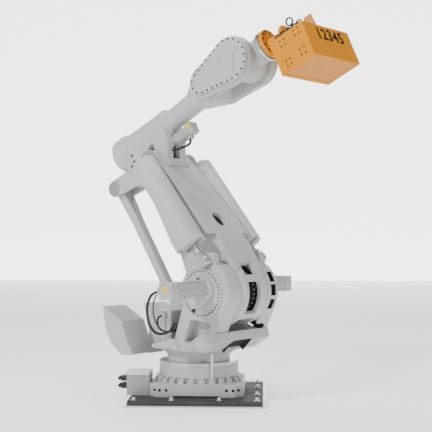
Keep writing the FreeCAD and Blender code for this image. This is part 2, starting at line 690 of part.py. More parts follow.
def parallel_rod():
    """Rod from the lever down to the crank: a wide yoke at the top, a plain eye below."""
    length = LOWER_ARM_LENGTH
    yoke_outline = [(-YOKE_HALF, 0), (YOKE_HALF, 0), (YOKE_HALF, -40), (ROD_HALF, -420), (-ROD_HALF, -420),
                    (-YOKE_HALF, -40)]
    yoke = side_prism(yoke_outline, -50, 50).fuse(disc(0, 0, ROD_PIN_RADIUS + 26, -YOKE_HALF, YOKE_HALF))
    hole = side_prism([(-46, -100), (46, -100), (8, -330), (-8, -330)], -60, 60)
    bar = box(-46, 46, -ROD_HALF, ROD_HALF, -length, -400)
    eye = disc(0, -length, 76, -ROD_HALF, ROD_HALF)
    body = yoke.fuse([bar, eye]).cut([hole, disc(0, 0, ROD_PIN_RADIUS, -200, 200)])
    return body.cut(disc(0, -length, PIN_RADIUS + RUNNING_GAP, -200, 200)).removeSplitter()


def rod_room(x, z, first, last, half):
    """Space swept by the rod as it swings about (x, z) between two headings."""
    side, reach = 60.0, 900.0
    start, end = along((x, z), first, reach), along((x, z), last, reach)
    points = [along((x, z), first - 90, side), along(start, first - 90, side),
              along((x, z), (first + last) / 2, 2 * reach), along(end, last + 90, side),
              along((x, z), last + 90, side)]
    return prism(points, -half, half).fuse(disc(x, z, 88, -half, half))


def rod_bottom_pin():
    return disc(ROD_BOTTOM[0], ROD_BOTTOM[1], PIN_RADIUS, -CRANK_HALF, CRANK_HALF)


def crank_arm():
    """Crank on the shoulder shaft, forked for the rod and carried on to the counterweight."""
    x, z = SHOULDER
    half = CRANK_HALF
    hub = disc(x, z, 160, -half, half)
    arm = link((x, z, 132.0), (ROD_BOTTOM[0], ROD_BOTTOM[1], 98.0), -half, half)
    tail = link((ROD_BOTTOM[0], ROD_BOTTOM[1], 94.0), (-640, 500, 82.0), -half, half)
    room = rod_room(ROD_BOTTOM[0], ROD_BOTTOM[1], 38.0, 172.0, ROD_HALF + CLEARANCE)
    body = hub.fuse([arm, tail]).cut([room, disc(x, z, SHAFT_RADIUS + RUNNING_GAP, -200, 200)])
    return body.cut(disc(ROD_BOTTOM[0], ROD_BOTTOM[1], PIN_RADIUS, -200, 200)).removeSplitter()


def counterweight():
    """Two heavy lobes joined by a bridge below, open at the top between them."""
    lobe_outline = [(-948, 940), (-664, 796), (-560, 560), (-566, 440), (-715, 412), (-760, 425),
                    (-905, 700)]
    y_in, y_out = 155.0, 500.0
    solid = prism(lobe_outline, -y_out, y_out)
    shape = side_prism([(-y_out, 560), (-y_out + 90, 425), (-y_out + 190, 400), (y_out - 190, 400),
                        (y_out - 90, 425),
                        (y_out, 560), (y_out, 1000), (-y_out, 1000)], -1000, -500)
    gap = side_prism([(-y_in, 1000), (y_in, 1000), (y_in, 640), (y_in - 60, 545), (-y_in + 60, 545),
                      (-y_in, 640)],
                     -1000, -500)
    crank_seat = link((ROD_BOTTOM[0], ROD_BOTTOM[1], 94.0), (-640, 500, 82.0), -CRANK_HALF, CRANK_HALF)
    return solid.common(shape).cut([gap, crank_seat])


def save_parallelogram():
    save_arm("elbow_shaft", elbow_shaft())
    save_arm("rod_top_pin", rod_top_pin())
    save_arm("parallel_rod", turned(parallel_rod(), LOWER_ARM_LEAN, *ROD_TOP))
    save_arm("rod_bottom_pin", rod_bottom_pin())
    save_arm("crank_arm", crank_arm())
    save_arm("counterweight", counterweight())


# ---- upper arm: x is its reach along the tube, z its height, from the elbow --------------
POST_FRONT = ((104.0, -58.0), (SEAM_REACH - 14, 180.0))


def elbow_web():
    """Post from the elbow up to the tube, and the rear web above the lever."""
    half = LEVER_HALF
    post = prism([(-60, -60), *POST_FRONT, (SEAM_REACH - 14, TUBE_OFFSET), (-420, TUBE_OFFSET), (-440, 180),
                  (-200, 120), (-120, 60)], -half, half)
    boss = disc(0, 0, ELBOW_BOSS_RADIUS, -half, half)
    return post.fuse(boss)


def lever():
    """Lever from the elbow back to the rod, ending in a clevis."""
    x, z = in_upper_arm(*ROD_TOP)
    bar = link((-60, 60, 112.0), (x, z, 92.0), -CLEVIS_HALF, CLEVIS_HALF)
    room = rod_room(x, z, -146.0 - UPPER_ARM_PITCH, -8.0 - UPPER_ARM_PITCH, YOKE_HALF + CLEARANCE)
    return bar, [room, disc(x, z, ROD_PIN_RADIUS, -200, 200)]


def elbow_barrel():
    """Rear tube of the upper arm, swelling to a barrel at its back end."""
    def turn(r0, r1, x0, x1):
        way = Vector(1, 0, 0)
        if r0 == r1:
            return Part.makeCylinder(r0, x1 - x0, Vector(x0, 0, TUBE_OFFSET), way)
        return Part.makeCone(r0, r1, x1 - x0, Vector(x0, 0, TUBE_OFFSET), way)
    tube, barrel = REAR_TUBE_RADIUS, REAR_BARREL_RADIUS
    rings = [
        turn(barrel - 34, barrel, -545, -505), turn(barrel, barrel, -505, -385),
        turn(barrel, tube + 22, -385, -300), turn(tube + 22, tube - 4, -300, SEAM_REACH - 40),
        turn(tube, tube, SEAM_REACH - 44, SEAM_REACH),
    ]
    return rings


def post_slot():
    """Round-ended slot sunk into the slanted front of the post."""
    (x0, z0), (x1, z1) = POST_FRONT
    length = math.hypot(x1 - x0, z1 - z0)
    low, high, radius, depth = 0.27 * length, 0.67 * length, 52.0, 90.0
    ends = [Part.makeCylinder(radius, depth + 10, Vector(-depth, 0, z), Vector(1, 0, 0)) for z in (low,
                                                                                                   high)]
    slot = ends[0].fuse([ends[1], box(-depth, 10, -radius, radius, low, high)])
    return turned(slot, -math.degrees(math.atan2(x1 - x0, z1 - z0)), x0, z0)


def elbow_casting():
    bar, lever_cuts = lever()
    body = elbow_web().fuse([bar] + elbow_barrel())
    relief = both_sides(lambda side: prism([(-175, 208), (28, 262), (22, 178), (-60, 170)],
                                           *span(side, LEVER_HALF - 70, LEVER_HALF + 60)))
    cuts = lever_cuts + relief + [post_slot(), disc(0, 0, ELBOW_SHAFT_RADIUS + RUNNING_GAP, -200, 200)]
    return body.cut(cuts).removeSplitter()


def rear_cap():
    cap = Part.makeCylinder(REAR_BARREL_RADIUS - 52, 18, Vector(-563, 0, TUBE_OFFSET), Vector(1, 0, 0))
    return cap.fuse(Part.makeCylinder(60, 14, Vector(-577, 0, TUBE_OFFSET), Vector(1, 0, 0)))


def roll_motor():
    """Motor of the forearm's roll axis, under the tube in front of the elbow."""
    x0 = SEAM_REACH - 14
    z = TUBE_OFFSET - REAR_TUBE_RADIUS - 64
    flange = Part.makeCylinder(60, 30, Vector(x0, 0, z), Vector(1, 0, 0))
    body = box(x0 + 30, x0 + 215, -54, 54, z - 54, z + 54)
    brake = box(x0 + 215, x0 + 285, -60, 60, z - 60, z + 60)
    socket = box(x0 + 150, x0 + 215, -30, 30, z - 92, z - 54)
    return flange.fuse([body, brake, socket])


def roll_motor_cables():
    """Two cables from the roll motor's socket back into the front of the elbow post."""
    low, high = POST_FRONT
    rise, run = high[1] - low[1], high[0] - low[0]
    slope = math.hypot(rise, run)
    cables = []
    for y, x, drop, y_end, part in ((-15, SEAM_REACH + 168, 52, -72, 0.60),
                                    (15, SEAM_REACH + 146, 22, 72, 0.75)):
        end = (low[0] + part * run, y_end, low[1] + part * rise)
        before = (end[0] + 90 * rise / slope, y_end, end[2] - 90 * run / slope)
        socket_z = TUBE_OFFSET - REAR_TUBE_RADIUS - 64 - 92
        cables.append(cord([(x, y, socket_z), (x, y, socket_z - drop), before, end], CABLE_RADIUS - 2))
    return Part.makeCompound(cables)


def save_upper_arm():
    def place(shape):
        return turned(shape, UPPER_ARM_PITCH, *ELBOW)
    save_arm("elbow_casting", place(elbow_casting()))
    save_arm("rear_cap", place(rear_cap()))
    save_arm("roll_motor", place(roll_motor()))
    save_arm("roll_motor_cables", place(roll_motor_cables()))


# ---- forearm: same axes as the upper arm, rolling about the tube -------------------------
def forearm_tube():
    way = Vector(1, 0, 0)
    start = SEAM_REACH + 1.0
    flange = Part.makeCone(REAR_TUBE_RADIUS - 4, REAR_TUBE_RADIUS - 34, 26,
                           Vector(start, 0, TUBE_OFFSET), way)
    tube = Part.makeCylinder(FRONT_TUBE_RADIUS, 560, Vector(start, 0, TUBE_OFFSET), way)
    return flange.fuse(tube)


def fork_body():
    """Body that widens from the tube to the two arms that hold the wrist."""
    centre = (WRIST_REACH, TUBE_OFFSET, WRIST_RADIUS)
    tail = (WRIST_REACH - WRIST_TAIL, TUBE_OFFSET - 4, 172.0)
    throat = (760.0, TUBE_OFFSET, FRONT_TUBE_RADIUS)
    side_view = link(throat, tail, -WRIST_OUTER, WRIST_OUTER)
    plan = flat_prism([(640, -110), (740, -118), (930, -WRIST_OUTER + 16), (1010, -WRIST_OUTER),
                       (1700, -WRIST_OUTER),
                       (1700, WRIST_OUTER), (1010, WRIST_OUTER), (930, WRIST_OUTER - 16), (740, 118),
                       (640, 110)],
                      0, 900)
    arms = [chamfered_link(tail, centre, side, 0.0, WRIST_OUTER, 22) for side in (-1, 1)]
    return side_view.common(plan).fuse(arms)


def fork_gap():
    """Room for the wrist between the arms, running out under the body."""
    reach = WRIST_REACH
    room = disc(reach, TUBE_OFFSET, WRIST_RADIUS + 85, -WRIST_INNER, WRIST_INNER)
    ahead = box(reach, reach + 500, -WRIST_INNER, WRIST_INNER, 0, 900)
    under = prism([(reach - 470, TUBE_OFFSET - 230), (reach - 330, TUBE_OFFSET - 60),
                   (reach, TUBE_OFFSET - 60),
                   (reach, TUBE_OFFSET - 300)], -WRIST_INNER, WRIST_INNER)
    return [room, ahead, under]


def forearm_casting():
    body = forearm_tube().fuse(fork_body())
    trunnion = disc(WRIST_REACH, TUBE_OFFSET, 70 + RUNNING_GAP, -WRIST_OUTER + 40, WRIST_OUTER - 40)
    return body.cut(fork_gap() + [trunnion]).removeSplitter()


def wrist_cover(side):
    """Pear-shaped cover on the outside of a fork arm, with a round cap over the axis."""
    centre = (WRIST_REACH, TUBE_OFFSET, WRIST_RADIUS - 16)
    tail = (WRIST_REACH - WRIST_TAIL + 10, TUBE_OFFSET - 4, 128.0)
    plate = chamfered_link(tail, centre, side, WRIST_OUTER, WRIST_OUTER + 24, 8)
    cap = dished(WRIST_REACH, TUBE_OFFSET, 84, *span(side, WRIST_OUTER + 24, WRIST_OUTER + 40), 8, side)
    return plate.fuse(cap)


def save_forearm():
    def place(shape):
        return turned(shape, UPPER_ARM_PITCH, *ELBOW)
    save_arm("forearm_casting", place(forearm_casting()))
    save_arm("wrist_covers", place(Part.makeCompound(both_sides(wrist_cover))))


# ---- wrist and tool: x is the tool axis, from the wrist centre ---------------------------
def wrist_hub():
    """Wrist housing: a barrel across the fork and a neck to the tool flange."""
    half = WRIST_INNER - CLEARANCE
    barrel = disc(0, 0, WRIST_RADIUS - 38, -half, half)
    neck = Part.makeCylinder(half - 2, FLANGE_REACH, Vector(0, 0, 0), Vector(1, 0, 0))
    ends = disc(0, 0, 70, -WRIST_OUTER + 42, WRIST_OUTER - 42)
    return barrel.fuse([neck, ends])


def tool_flange():
    disc_plate = Part.makeCylinder(FLANGE_RADIUS, 30, Vector(FLANGE_REACH + 0.5, 0, 0), Vector(1, 0, 0))
    nose = Part.makeCylinder(FLANGE_RADIUS - 34, 18, Vector(FLANGE_REACH + 30.5, 0, 0), Vector(1, 0, 0))
    return disc_plate.fuse(nose)


def weight_adaptor():
    """Round adaptor bolted to the flange, with a neck to the back plate."""
    start = FLANGE_REACH + 48.5
    plate = Part.makeCylinder(FLANGE_RADIUS - 2, 40, Vector(start, 0, 0), Vector(1, 0, 0))
    neck = Part.makeCylinder(96, WEIGHT_REACH - 40 - start - 40, Vector(start + 40, 0, -58),
                             Vector(1, 0, 0))
    return plate.fuse(neck)


def weight_back_plate():
    """Plate behind the weight, with a tongue that rises to the adaptor."""
    half = WEIGHT_WIDTH / 2
    x0, x1 = WEIGHT_REACH - 40, WEIGHT_REACH
    low = WEIGHT_TOP - WEIGHT_HEIGHT
    plate = box(x0, x1, -half, half, low, WEIGHT_TOP)
    tongue = side_prism([(-240, WEIGHT_TOP - 10), (-190, -60), (-110, 40), (110, 40), (190, -60),
                         (240, WEIGHT_TOP - 10)], x0, x1)
    return plate.fuse(tongue)


def weight_side_plate(side):
    half = WEIGHT_WIDTH / 2
    y0, y1 = span(side, half - WEIGHT_PLATE, half)
    low = WEIGHT_TOP - WEIGHT_HEIGHT
    return box(WEIGHT_REACH, WEIGHT_REACH + WEIGHT_LENGTH, y0, y1, low, WEIGHT_TOP)


def weight_front_plate():
    half = WEIGHT_WIDTH / 2 - WEIGHT_PLATE
    end = WEIGHT_REACH + WEIGHT_LENGTH
    return box(end - WEIGHT_PLATE, end, -half, half, WEIGHT_TOP - WEIGHT_HEIGHT, WEIGHT_TOP)


def weight_top_plate():
    half = WEIGHT_WIDTH / 2 - WEIGHT_PLATE
    return box(WEIGHT_REACH, WEIGHT_REACH + WEIGHT_LENGTH - WEIGHT_PLATE, -half, half,
               WEIGHT_TOP - WEIGHT_PLATE, WEIGHT_TOP)


def weight_stack(x0, x1):
    """A row of upright steel plates, drawn as one solid with a groove at each joint."""
    half = WEIGHT_WIDTH / 2 - WEIGHT_PLATE
    low = WEIGHT_TOP - WEIGHT_HEIGHT + 4
    stack = box(x0, x1, -half, half, low, WEIGHT_TOP - WEIGHT_PLATE)
    count = 9
    grooves = [
        box(x0 - 1, x1 + 1, -half + 2 * half * i / count - 1.5, -half + 2 * half * i / count + 1.5,
            low - 1, low + 10)
        for i in range(1, count)
    ]
    return stack.cut(grooves)


def lifting_lug():
    """Upright plate with a hole, on top of the weight."""
    x, z = WEIGHT_REACH + 262, WEIGHT_TOP
    plate = prism([(x - 62, z), (x + 62, z), (x + 50, z + 175), (x - 34, z + 175)], -75, -49)
    return plate.cut(disc(x, z + 58, 22, -100, 0))


def lifting_chain():
    """Chain that lies along the top of the weight: a bar of its outer shape and a ring."""
    z = WEIGHT_TOP
    bar = box(WEIGHT_REACH + 30, WEIGHT_REACH + 300, -372, -318, z, z + 54)
    ring = Part.makeTorus(38, 9, Vector(WEIGHT_REACH + 220, -345, z + 96), Vector(0, 1, 0))
    return bar.fuse(ring)


def save_tool():
    def place(shape):
        return turned(shape, TOOL_PITCH, *WRIST)
    save_arm("wrist_hub", place(wrist_hub()))
    save_arm("tool_flange", place(tool_flange()))
    save_arm("weight_adaptor", place(weight_adaptor()))
    save_arm("weight_back_plate", place(weight_back_plate()))
    save_arm("side_weight_plates", place(Part.makeCompound(both_sides(weight_side_plate))))
    save_arm("front_weight_plate", place(weight_front_plate()))
    save_arm("top_weight_plate", place(weight_top_plate()))
    middle = WEIGHT_REACH + (WEIGHT_LENGTH - WEIGHT_PLATE) / 2
    stacks = [weight_stack(WEIGHT_REACH, middle - 1),
              weight_stack(middle + 1, WEIGHT_REACH + WEIGHT_LENGTH - WEIGHT_PLATE)]
    save_arm("weight_stacks", place(Part.makeCompound(stacks)))
    save_arm("lifting_lug", place(lifting_lug()))
    save_arm("lifting_chain", place(lifting_chain()))


save_base()
save_turret()
save_lower_arm()
save_balancers()
save_parallelogram()
save_upper_arm()
save_forearm()
save_tool()
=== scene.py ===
import json
import math

import bpy
from mathutils import Matrix, Vector

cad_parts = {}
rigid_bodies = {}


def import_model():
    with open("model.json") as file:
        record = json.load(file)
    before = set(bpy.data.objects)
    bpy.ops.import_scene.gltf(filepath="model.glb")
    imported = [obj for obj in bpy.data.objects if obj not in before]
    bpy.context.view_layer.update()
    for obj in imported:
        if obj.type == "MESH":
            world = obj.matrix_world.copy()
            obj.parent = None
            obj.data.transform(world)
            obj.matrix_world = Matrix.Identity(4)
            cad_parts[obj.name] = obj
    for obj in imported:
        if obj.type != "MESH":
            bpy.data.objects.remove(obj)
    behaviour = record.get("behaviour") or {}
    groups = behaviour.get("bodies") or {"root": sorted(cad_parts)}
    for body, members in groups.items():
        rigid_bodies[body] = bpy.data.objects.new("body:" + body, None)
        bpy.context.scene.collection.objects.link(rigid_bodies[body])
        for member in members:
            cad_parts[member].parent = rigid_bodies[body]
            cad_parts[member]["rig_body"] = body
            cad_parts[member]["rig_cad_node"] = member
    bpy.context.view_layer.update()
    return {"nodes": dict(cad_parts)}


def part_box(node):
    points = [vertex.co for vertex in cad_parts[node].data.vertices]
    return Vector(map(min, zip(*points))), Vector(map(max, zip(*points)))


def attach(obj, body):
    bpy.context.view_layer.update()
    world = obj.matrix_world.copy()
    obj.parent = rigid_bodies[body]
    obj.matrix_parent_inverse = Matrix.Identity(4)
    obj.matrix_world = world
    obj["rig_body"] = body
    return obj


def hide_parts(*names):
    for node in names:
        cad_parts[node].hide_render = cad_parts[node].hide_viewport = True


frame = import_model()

nodes = frame["nodes"]

# ---- camera, floor and lights --------------------------------------------------------
# The eye stands about eleven metres off, a little above the middle of the arm, looking level.
bpy.ops.object.select_all(action='DESELECT')
bpy.ops.object.camera_add(location=(0.685, -10.770, 1.789),
                          rotation=(math.radians(90), 0, math.radians(2.68)))
camera = bpy.context.object
camera.name = "camera"
camera.data.lens = 84.6
camera.data.sensor_width = 36
camera.data.shift_y = 0.0278
camera.data.clip_end = 200
bpy.context.scene.camera = camera

bpy.ops.mesh.primitive_plane_add(size=80, location=(0, 0, -0.004))
floor = bpy.context.object
floor.name = "studio_floor"
pale = bpy.data.materials.new("pale_floor")
pale.use_nodes = True
pale.node_tree.nodes["Principled BSDF"].inputs["Base Color"].default_value = (0.86, 0.86, 0.86, 1)
pale.node_tree.nodes["Principled BSDF"].inputs["Roughness"].default_value = 0.9
pale.node_tree.nodes["Principled BSDF"].inputs["Emission Color"].default_value = (1, 1, 1, 1)
pale.node_tree.nodes["Principled BSDF"].inputs["Emission Strength"].default_value = 0.75
floor.data.materials.append(pale)
bpy.ops.mesh.primitive_plane_add(size=30, location=(0, 24, 0), rotation=(math.radians(90), 0, 0))
backdrop = bpy.context.object
backdrop.name = "studio_backdrop"
bpy.ops.object.transform_apply(rotation=True)
glow = bpy.data.materials.new("bright_backdrop")
glow.use_nodes = True
glow.node_tree.nodes["Principled BSDF"].inputs["Base Color"].default_value = (0.9, 0.9, 0.9, 1)
glow.node_tree.nodes["Principled BSDF"].inputs["Emission Color"].default_value = (1, 1, 1, 1)
glow.node_tree.nodes["Principled BSDF"].inputs["Emission Strength"].default_value = 3.0
backdrop.data.materials.append(glow)

world = bpy.data.worlds.new("studio")
world.use_nodes = True
world.node_tree.nodes["Background"].inputs["Color"].default_value = (1, 1, 1, 1)
world.node_tree.nodes["Background"].inputs["Strength"].default_value = 0.45
bpy.context.scene.world = world
aim_point = Vector((0.2, 0, 1.8))
for label, place, power, size in (("key", (-6.0, -6.5, 7.5), 1000, 1.0), ("top", (0.5, 1.0, 9.0), 420, 4.0),
                                  ("fill", (6.5, -6.5, 4.0), 230, 2.0)):
    bpy.ops.object.light_add(type='AREA', location=place)
    lamp = bpy.context.object
    lamp.name = label + "_light"
    lamp.data.energy = power
    lamp.data.size = size
    aim = aim_point - Vector(place)
    lamp.rotation_euler = aim.to_track_quat('-Z', 'Y').to_euler()


# ---- floor plates --------------------------------------------------------------------
# A dark mill-finished steel plate 45 mm thick on a lighter levelling plate, held down by
# bolts with washers along its edges. Mill scale is mottled, with rubbed lighter patches.
def surface_skin():
    """Shared effect: cloudy tone, fine specks and a fine relief, on the piece's own coordinates."""
    group = bpy.data.node_groups.new("surface_skin", 'ShaderNodeTree')
    group.interface.new_socket("Cloud Scale", in_out='INPUT',
                               socket_type='NodeSocketFloat').default_value = 2.0
    group.interface.new_socket("Grain Scale", in_out='INPUT',
                               socket_type='NodeSocketFloat').default_value = 90.0
    for label in ("Cloud", "Specks", "Height"):
        group.interface.new_socket(label, in_out='OUTPUT', socket_type='NodeSocketFloat')
    tree = group.nodes
    start, end = tree.new('NodeGroupInput'), tree.new('NodeGroupOutput')
    place = tree.new('ShaderNodeTexCoord')
    cloud, grain, specks = (tree.new('ShaderNodeTexNoise') for _ in range(3))
    cloud.inputs["Detail"].default_value = 5
    grain.inputs["Detail"].default_value = 3
    specks.inputs["Detail"].default_value = 8
    specks.inputs["Roughness"].default_value = 0.75
    specks.inputs["Scale"].default_value = 14
    ramp = tree.new('ShaderNodeValToRGB')
    ramp.color_ramp.elements[0].position = 0.60
    ramp.color_ramp.elements[1].position = 0.78
    for texture in (cloud, grain, specks):
        group.links.new(place.outputs["Object"], texture.inputs["Vector"])
    group.links.new(start.outputs["Cloud Scale"], cloud.inputs["Scale"])
    group.links.new(start.outputs["Grain Scale"], grain.inputs["Scale"])
    group.links.new(specks.outputs["Fac"], ramp.inputs["Fac"])
    group.links.new(cloud.outputs["Fac"], end.inputs["Cloud"])
    group.links.new(ramp.outputs["Color"], end.inputs["Specks"])
    group.links.new(grain.outputs["Fac"], end.inputs["Height"])
    return group


skin_group = surface_skin()


def finish(name, light, dark, roughness, metallic=0.0, cloud=2.0, grain=90.0, relief=0.0006, speck=0.35,
           gloss=0.5):
    """A finish that drifts between two close tones, with specks of the darker one."""
    material = bpy.data.materials.new(name)
    material.use_nodes = True
    tree, links = material.node_tree.nodes, material.node_tree.links
    shader = tree["Principled BSDF"]
    shader.inputs["Metallic"].default_value = metallic
    shader.inputs["Specular IOR Level"].default_value = gloss
    skin = tree.new('ShaderNodeGroup')
    skin.node_tree = skin_group
    skin.inputs["Cloud Scale"].default_value = cloud
    skin.inputs["Grain Scale"].default_value = grain
    tone, marks = tree.new('ShaderNodeMix'), tree.new('ShaderNodeMix')
    tone.data_type = marks.data_type = 'RGBA'
    tone.inputs["A"].default_value = (*light, 1)
    tone.inputs["B"].default_value = (*(0.6 * a + 0.4 * b for a, b in zip(light, dark)), 1)
    marks.inputs["B"].default_value = (*dark, 1)
    links.new(skin.outputs["Cloud"], tone.inputs["Factor"])
    links.new(tone.outputs["Result"], marks.inputs["A"])
    amount = tree.new('ShaderNodeMath')
    amount.operation = 'MULTIPLY'
    amount.inputs[1].default_value = speck
    links.new(skin.outputs["Specks"], amount.inputs[0])
    links.new(amount.outputs["Value"], marks.inputs["Factor"])
    links.new(marks.outputs["Result"], shader.inputs["Base Color"])
    spread = tree.new('ShaderNodeMapRange')
    spread.inputs["To Min"].default_value = roughness - 0.07
    spread.inputs["To Max"].default_value = roughness + 0.09
    links.new(skin.outputs["Cloud"], spread.inputs["Value"])
    links.new(spread.outputs["Result"], shader.inputs["Roughness"])
    bump = tree.new('ShaderNodeBump')
    bump.inputs["Distance"].default_value = relief
    bump.inputs["Strength"].default_value = 0.5
    links.new(skin.outputs["Height"], bump.inputs["Height"])
    links.new(bump.outputs["Normal"], shader.inputs["Normal"])
    return material


def dress(material, *names):
    """Gives carried-over CAD nodes a finish."""
    for name in names:
        nodes[name].data.materials.clear()
        nodes[name].data.materials.append(material)


mill_scale = finish("mill_scale", (0.035, 0.035, 0.037), (0.14, 0.137, 0.134), 0.70, metallic=0.2,
                    cloud=5, speck=0.6, gloss=0.15)
bright_steel = finish("bright_steel", (0.62, 0.62, 0.62), (0.40, 0.40, 0.41), 0.32, metallic=0.9,
                      cloud=4, grain=260)
zinc = finish("zinc_plate", (0.70, 0.70, 0.68), (0.45, 0.44, 0.42), 0.36, metallic=0.85, cloud=9, grain=200)
dress(mill_scale, "floor_plate")
dress(bright_steel, "levelling_plate")


def start_clean():
    """Nothing selected and nothing in edit mode."""
    if bpy.context.object and bpy.context.object.mode != 'OBJECT':
        bpy.ops.object.mode_set(mode='OBJECT')
    bpy.ops.object.select_all(action='DESELECT')


def hex_bolt(radius, height):
    """A hexagon head with a chamfered top on its washer, standing on z = 0."""
    start_clean()
    bpy.ops.mesh.primitive_cylinder_add(vertices=6, radius=radius, depth=height,
                                        location=(0, 0, height * 0.62))
    head = bpy.context.object
    bpy.ops.object.transform_apply(location=True)
    bpy.ops.object.mode_set(mode='EDIT')
    bpy.ops.mesh.select_all(action='SELECT')
    bpy.ops.mesh.bevel(offset=radius * 0.12, segments=1)
    bpy.ops.object.mode_set(mode='OBJECT')
    bpy.ops.mesh.primitive_cylinder_add(vertices=16, radius=radius * 1.5, depth=height * 0.2,
                                        location=(0, 0, height * 0.1))
    washer = bpy.context.object
    bpy.ops.object.transform_apply(location=True)
    bpy.ops.object.mode_set(mode='EDIT')
    bpy.ops.mesh.select_all(action='SELECT')
    bpy.ops.mesh.bevel(offset=height * 0.04, segments=1)
    bpy.ops.object.mode_set(mode='OBJECT')
    head.select_set(True)
    washer.select_set(True)
    bpy.context.view_layer.objects.active = head
    bpy.ops.object.join()
    return head


def spread_copies(pattern, places, name, body, material):
    """Copies a small piece, which stands on z = 0, to each (point, way up) and joins the copies."""
    start_clean()
    copies = []
    for point, up in places:
        copy = pattern.copy()
        copy.data = pattern.data.copy()
        turn = Vector(up).to_track_quat('Z', 'Y').to_matrix().to_4x4()
        copy.data.transform(Matrix.Translation(Vector(point)) @ turn)
        bpy.context.scene.collection.objects.link(copy)
        copies.append(copy)
    bpy.data.objects.remove(pattern)
    for copy in copies:
        copy.select_set(True)
    whole = copies[0]
    bpy.context.view_layer.objects.active = whole
    bpy.ops.object.join()
    whole.name = name
    whole.data.materials.clear()
    whole.data.materials.append(material)
    bpy.ops.object.shade_smooth_by_angle(angle=math.radians(35))
    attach(whole, body)
    return whole


plate_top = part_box("floor_plate")[1].z
edge, inner = 0.620, 0.24
rim_places = [(x, y) for x in (-edge, -inner, inner, edge) for y in (-edge, edge)]
rim_places += [(x, y) for x in (-edge, edge) for y in (-inner, inner)]
spread_copies(hex_bolt(0.020, 0.026), [((x, y, plate_top), (0, 0, 1)) for x, y in rim_places],
              "floor_bolts", "base", zinc)

# ---- base casting --------------------------------------------------------------------
# A grey-white painted iron casting: two feet with square pockets, a ring of ribs round the
# foot of the drum, and the drum that carries the slewing ring. Cast edges are well rounded.
white_paint = finish("white_paint", (0.48, 0.48, 0.477), (0.27, 0.27, 0.265), 0.42, cloud=1.6, grain=160,
                     relief=0.0004, speck=0.16, gloss=0.25)
# Near-black finish for the boxes and plates that paint shade into pockets, slots, holes and reliefs.
painted_shade = finish("painted_shade", (0.030, 0.030, 0.032), (0.05, 0.05, 0.05), 0.8, cloud=6, gloss=0.1)


def rounded(node, body, width, material, segments=2):
    """A casting with its edges eased: a merged copy of the plain piece, bevelled where it is sharp."""
    start_clean()
    piece = nodes[node].copy()
    piece.data = nodes[node].data.copy()
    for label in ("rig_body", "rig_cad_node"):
        del piece[label]
    piece.parent = None
    piece.matrix_world = Matrix.Identity(4)
    piece.name = node + "_cast"
    bpy.context.scene.collection.objects.link(piece)
    piece.select_set(True)
    bpy.context.view_layer.objects.active = piece
    bpy.ops.object.mode_set(mode='EDIT')
    bpy.ops.mesh.select_all(action='SELECT')
    bpy.ops.mesh.remove_doubles(threshold=0.00003)
    bpy.ops.mesh.dissolve_limited(angle_limit=math.radians(0.6))
    bpy.ops.object.mode_set(mode='OBJECT')
    ease = piece.modifiers.new("edges", 'BEVEL')
    ease.width = width
    ease.segments = segments
    ease.limit_method = 'ANGLE'
    ease.angle_limit = math.radians(32)
    ease.harden_normals = False
    bpy.ops.object.modifier_apply(modifier="edges")
    bpy.ops.object.shade_smooth_by_angle(angle=math.radians(40))
    piece.data.materials.clear()
    piece.data.materials.append(material)
    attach(piece, body)
    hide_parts(node)
    return piece


rounded("base_casting", "base", 0.006, white_paint)


def cap_screw(radius, height):
    """A socket-head screw: round head with an eased rim and a sunk socket, standing on z = 0."""
    start_clean()
    bpy.ops.mesh.primitive_cylinder_add(vertices=12, radius=radius, depth=height,
                                        location=(0, 0, height / 2))
    screw = bpy.context.object
    bpy.ops.object.transform_apply(location=True)
    bpy.ops.object.mode_set(mode='EDIT')
    bpy.ops.mesh.select_mode(type='FACE')
    bpy.ops.mesh.select_all(action='DESELECT')
    bpy.ops.object.mode_set(mode='OBJECT')
    for face in screw.data.polygons:
        face.select = face.normal.z > 0.9
    bpy.ops.object.mode_set(mode='EDIT')
    bpy.ops.mesh.inset(thickness=radius * 0.14)
    bpy.ops.transform.translate(value=(0, 0, height * 0.12))
    bpy.ops.mesh.inset(thickness=radius * 0.36)
    bpy.ops.mesh.extrude_region_move(TRANSFORM_OT_translate={"value": (0, 0, -height * 0.6)})
    bpy.ops.object.mode_set(mode='OBJECT')
    return screw


def ring_places(centre, axis, radius, count, first=0.0):
    """Places evenly round a circle about an axis, all facing along it."""
    axis = Vector(axis).normalized()
    side = axis.orthogonal().normalized()
    across = axis.cross(side)
    out = []
    for index in range(count):
        angle = math.radians(first) + 2 * math.pi * index / count
        spoke = side * radius * math.cos(angle) + across * radius * math.sin(angle)
        out.append((Vector(centre) + spoke, axis))
    return out


rim_top = plate_top + 0.130
spread_copies(cap_screw(0.013, 0.012), [((x, y, rim_top), (0, 0, 1)) for x in (-0.455, -0.40, 0.40, 0.455)
                                        for y in (-0.27, -0.16, 0.16, 0.27)],
              "foot_screws", "base", zinc)

def shade_box(width, height, depth):
    """An open-fronted box, mouth up on z = 0, set in a pocket to paint the shade inside it."""
    start_clean()
    bpy.ops.mesh.primitive_cube_add(size=1, scale=(width, height, depth),
                                    location=(0, 0, -depth / 2 + 0.0005))
    shade_block = bpy.context.object
    bpy.ops.object.transform_apply(location=True, scale=True)
    bpy.ops.object.mode_set(mode='EDIT')
    bpy.ops.mesh.select_mode(type='FACE')
    bpy.ops.mesh.select_all(action='DESELECT')
    bpy.ops.object.mode_set(mode='OBJECT')
    for face in shade_block.data.polygons:
        face.select = face.normal.z > 0.9
    bpy.ops.object.mode_set(mode='EDIT')
    bpy.ops.mesh.inset(thickness=0.002)
    bpy.ops.mesh.extrude_region_move(TRANSFORM_OT_translate={"value": (0, 0, -depth * 0.8)})
    bpy.ops.object.mode_set(mode='OBJECT')
    return shade_block
